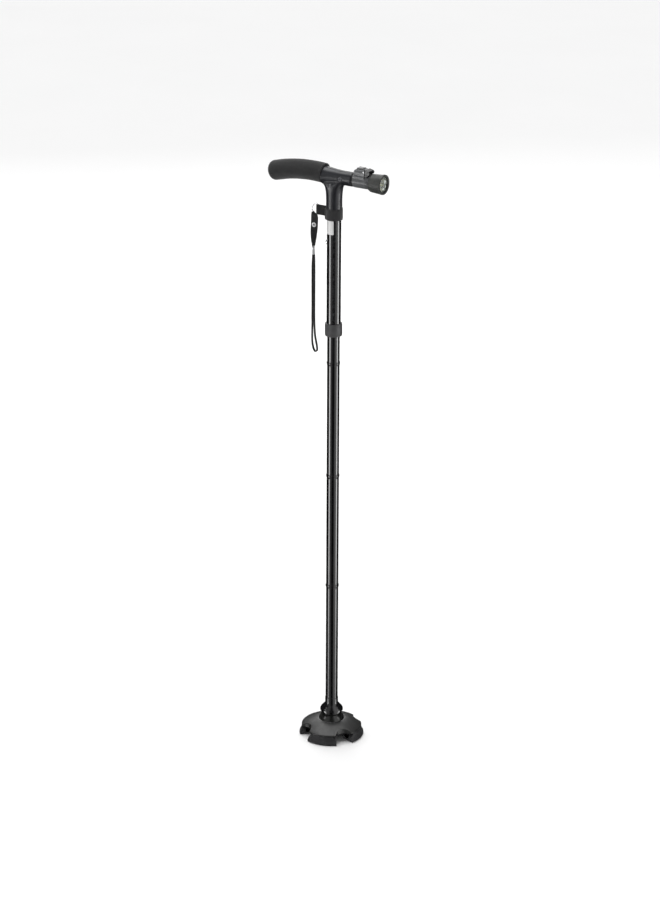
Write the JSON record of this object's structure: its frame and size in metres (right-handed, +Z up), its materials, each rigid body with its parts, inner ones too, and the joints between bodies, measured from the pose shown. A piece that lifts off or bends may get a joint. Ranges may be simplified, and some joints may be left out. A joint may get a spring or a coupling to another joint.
{
  "type": "quad walking cane",
  "caption": "Folding walking cane with a T handle, a torch in the handle's nose, a snap-button height setting, a wrist strap and a tilting base on rubber feet.",
  "frame": {"origin": "on the floor, under the middle of the base and in line with the shaft", "axes": "+Z up along the shaft, +X the way the torch points, +Y to the left of the torch"},
  "size_m": [0.2032, 0.1032, 0.9537],
  "materials": {
    "plate_plastic": "satin",
    "foot_rubber": "matte",
    "screw_steel": "satin",
    "screw_black": "satin",
    "liner_nylon": "satin",
    "buffer_rubber": "matte",
    "bell_plastic": "gloss",
    "plug_nylon": "satin",
    "tube_black": "gloss",
    "spigot_alloy": "satin",
    "elastic_black": "matte",
    "ferrule_alloy": "satin",
    "button_steel": "polished",
    "spring_steel": "satin",
    "collar_plastic": "matte",
    "label_white": "satin",
    "handle_plastic": "gloss",
    "grip_foam": "matte",
    "webbing": "matte",
    "ring_chrome": "polished",
    "grommet_white": "gloss",
    "sleeve_clear": "gloss",
    "barrel_grey": "satin",
    "seal_rubber": "matte",
    "cell_wrap": "satin",
    "contact_brass": "satin",
    "board_white": "satin",
    "led_epoxy": "gloss",
    "reflector_silver": "polished",
    "lens_clear": "gloss",
    "head_plastic": "matte",
    "lever_black": "gloss"
  },
  "bodies": {
    "base": {"base_plate": "plate_plastic", "foot_1": "foot_rubber", "foot_2": "foot_rubber", "foot_3": "foot_rubber", "foot_4": "foot_rubber", "foot_screws": "screw_steel"},
    "liner": {"pivot_liner": "liner_nylon"},
    "buffer": {"pivot_buffer": "buffer_rubber"},
    "lower": {"pivot_bell": "bell_plastic", "pivot_bolt": "screw_steel", "pivot_washer": "screw_steel", "bottom_plug": "plug_nylon", "tube_1": "tube_black", "shock_cord": "elastic_black", "cord_ferrule_low": "ferrule_alloy"},
    "section_2": {"tube_2": "tube_black", "spigot_1": "spigot_alloy"},
    "section_3": {"tube_3": "tube_black", "spigot_2": "spigot_alloy"},
    "inner": {"inner_tube": "tube_black", "spigot_3": "spigot_alloy", "button_spring": "spring_steel", "top_plug": "plug_nylon", "cord_ferrule_top": "ferrule_alloy"},
    "button": {"snap_button": "button_steel"},
    "upper": {"upper_tube": "tube_black", "split_bush": "plug_nylon", "size_label": "label_white", "handle_shell_left": "handle_plastic", "handle_shell_right": "handle_plastic", "handle_screws": "screw_black", "handle_pin": "screw_steel", "foam_grip": "grip_foam", "strap_band": "webbing", "strap_tab": "webbing"},
    "collar": {"lock_collar": "collar_plastic"},
    "ring": {"d_ring": "ring_chrome"},
    "lanyard": {"lanyard_web": "webbing", "grommet": "grommet_white", "crimp_sleeve": "sleeve_clear", "wrist_loop": "webbing"},
    "torch": {"torch_barrel": "barrel_grey", "nose_seal": "seal_rubber", "battery_cell": "cell_wrap", "cell_spring": "contact_brass", "led_board": "board_white", "leds": "led_epoxy", "reflector": "reflector_silver", "switch_housing": "barrel_grey", "switch_element": "bell_plastic", "lever_pin": "screw_steel"},
    "head": {"head_bezel": "head_plastic", "lens": "lens_clear", "lens_gasket": "seal_rubber"},
    "lever": {"switch_lever": "lever_black"}
  },
  "joints": [
    {"name": "base_tilt_y", "type": "hinge", "parent": "base", "child": "liner", "pos_m": [0, 0, 0.0204], "axis": [0, 1, 0], "range_deg": [-10, 10], "stiffness_Nm_per_rad": 20},
    {"name": "base_tilt_x", "type": "hinge", "parent": "liner", "child": "buffer", "pos_m": [0, 0, 0.0204], "axis": [1, 0, 0], "range_deg": [-10, 10], "stiffness_Nm_per_rad": 20},
    {"name": "base_swivel", "type": "hinge", "parent": "buffer", "child": "lower", "pos_m": [0, 0, 0.0204], "axis": [0, 0, 1], "continuous": true},
    {"name": "pull_1", "type": "slide", "parent": "lower", "child": "section_2", "axis": [0, 0, 1], "range_m": [0, 0.04], "stiffness_N_per_m": 250, "springref_m": -0.1, "deforming": ["shock_cord"]},
    {"name": "pull_2", "type": "slide", "parent": "section_2", "child": "section_3", "axis": [0, 0, 1], "range_m": [0, 0.04], "stiffness_N_per_m": 250, "springref_m": -0.1, "deforming": ["shock_cord"]},
    {"name": "pull_3", "type": "slide", "parent": "section_3", "child": "inner", "axis": [0, 0, 1], "range_m": [0, 0.04], "stiffness_N_per_m": 250, "springref_m": -0.1, "deforming": ["shock_cord"]},
    {"name": "height_slide", "type": "slide", "parent": "inner", "child": "upper", "axis": [0, 0, 1], "range_m": [-0.0254, 0.0508]},
    {"name": "button_press", "type": "slide", "parent": "inner", "child": "button", "axis": [1, 0, 0], "range_m": [0, 0.0045], "stiffness_N_per_m": 1200, "springref_m": -0.0015, "deforming": ["button_spring"]},
    {"name": "collar_turn", "type": "hinge", "parent": "upper", "child": "collar", "pos_m": [0, 0, 0.6885], "axis": [0, 0, 1], "range_deg": [-150, 0]},
    {"name": "ring_swing", "type": "hinge", "parent": "upper", "child": "ring", "pos_m": [-0.03, 0, 0.8756], "axis": [0, 0, 1], "range_deg": [-100, 100]},
    {"name": "lanyard_swing", "type": "hinge", "parent": "ring", "child": "lanyard", "pos_m": [-0.035, 0, 0.8676], "axis": [0, 1, 0], "range_deg": [-4, 60]},
    {"name": "torch_pull", "type": "slide", "parent": "upper", "child": "torch", "axis": [1, 0, 0], "range_m": [0, 0.02]},
    {"name": "head_turn", "type": "hinge", "parent": "torch", "child": "head", "pos_m": [0.0671, 0, 0.9325], "axis": [1, 0, 0], "range_deg": [0, 360]},
    {"name": "lever_press", "type": "hinge", "parent": "torch", "child": "lever", "pos_m": [0.0551, 0, 0.9481], "axis": [0, -1, 0], "range_deg": [0, 4.5], "stiffness_Nm_per_rad": 0.05, "springref_deg": -2.86}
  ]
}
